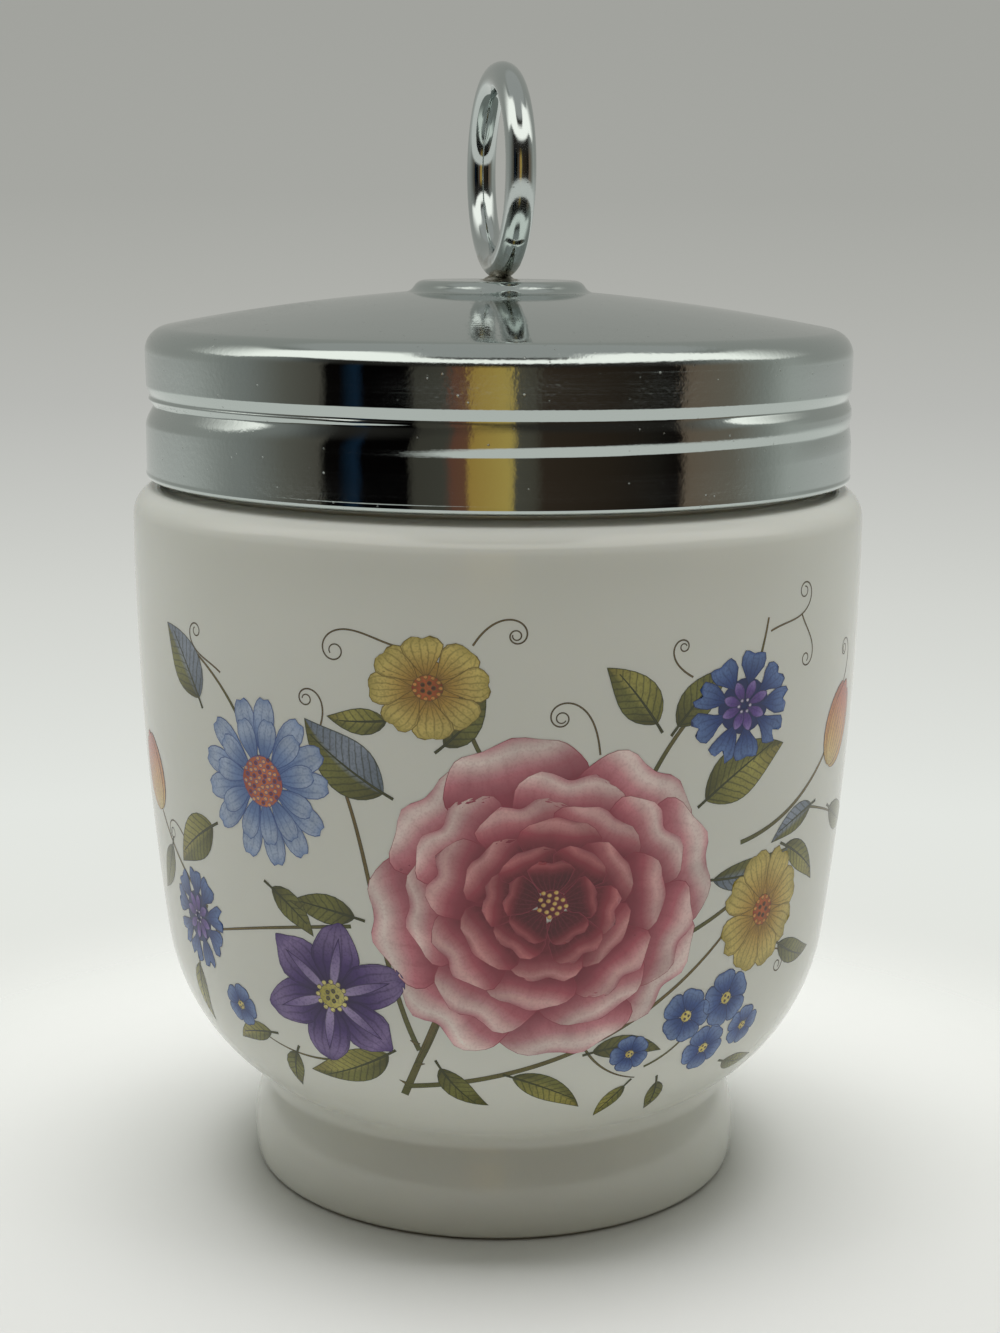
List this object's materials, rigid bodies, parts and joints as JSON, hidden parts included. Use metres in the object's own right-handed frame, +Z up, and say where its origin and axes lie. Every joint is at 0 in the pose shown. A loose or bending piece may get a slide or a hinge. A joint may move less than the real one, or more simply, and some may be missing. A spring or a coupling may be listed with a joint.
{
  "type": "egg coddler",
  "caption": "Porcelain egg coddler: a footed, floral-printed cup with a threaded neck and a chromed metal screw lid that carries an upright lifting ring.",
  "frame": {"origin": "on the table, on the axis of the cup", "axes": "+Z up along the axis of cup, thread and lid; -Y towards the viewer of the picture; +X to that viewer's right"},
  "size_m": [0.0648, 0.0648, 0.0992],
  "materials": {
    "porcelain": "gloss white glaze with a floral print",
    "chromed_lid": "bright, slightly worn plating on sheet metal",
    "chromed_ring": "bright plating on round wire",
    "braze": "rough, tarnished",
    "seal": "matt"
  },
  "bodies": {
    "cup": {"porcelain_cup": "porcelain"},
    "seal": {"sealing_ring": "seal"},
    "lid": {"lid_shell": "chromed_lid", "lifting_ring": "chromed_ring", "ring_braze": "braze"}
  },
  "joints": [
    {"name": "lid_rise", "type": "slide", "parent": "cup", "child": "seal", "axis": [0, 0, 1], "range_m": [0, 0.0109]},
    {"name": "lid_turn", "type": "hinge", "parent": "seal", "child": "lid", "pos_m": [0, 0, 0.07], "axis": [0, 0, 1], "range_deg": [0, 1620]}
  ],
  "couplings": [
    {"joint": "lid_rise", "follows": "lid_turn", "m_per_rad": 0.00038197}
  ]
}
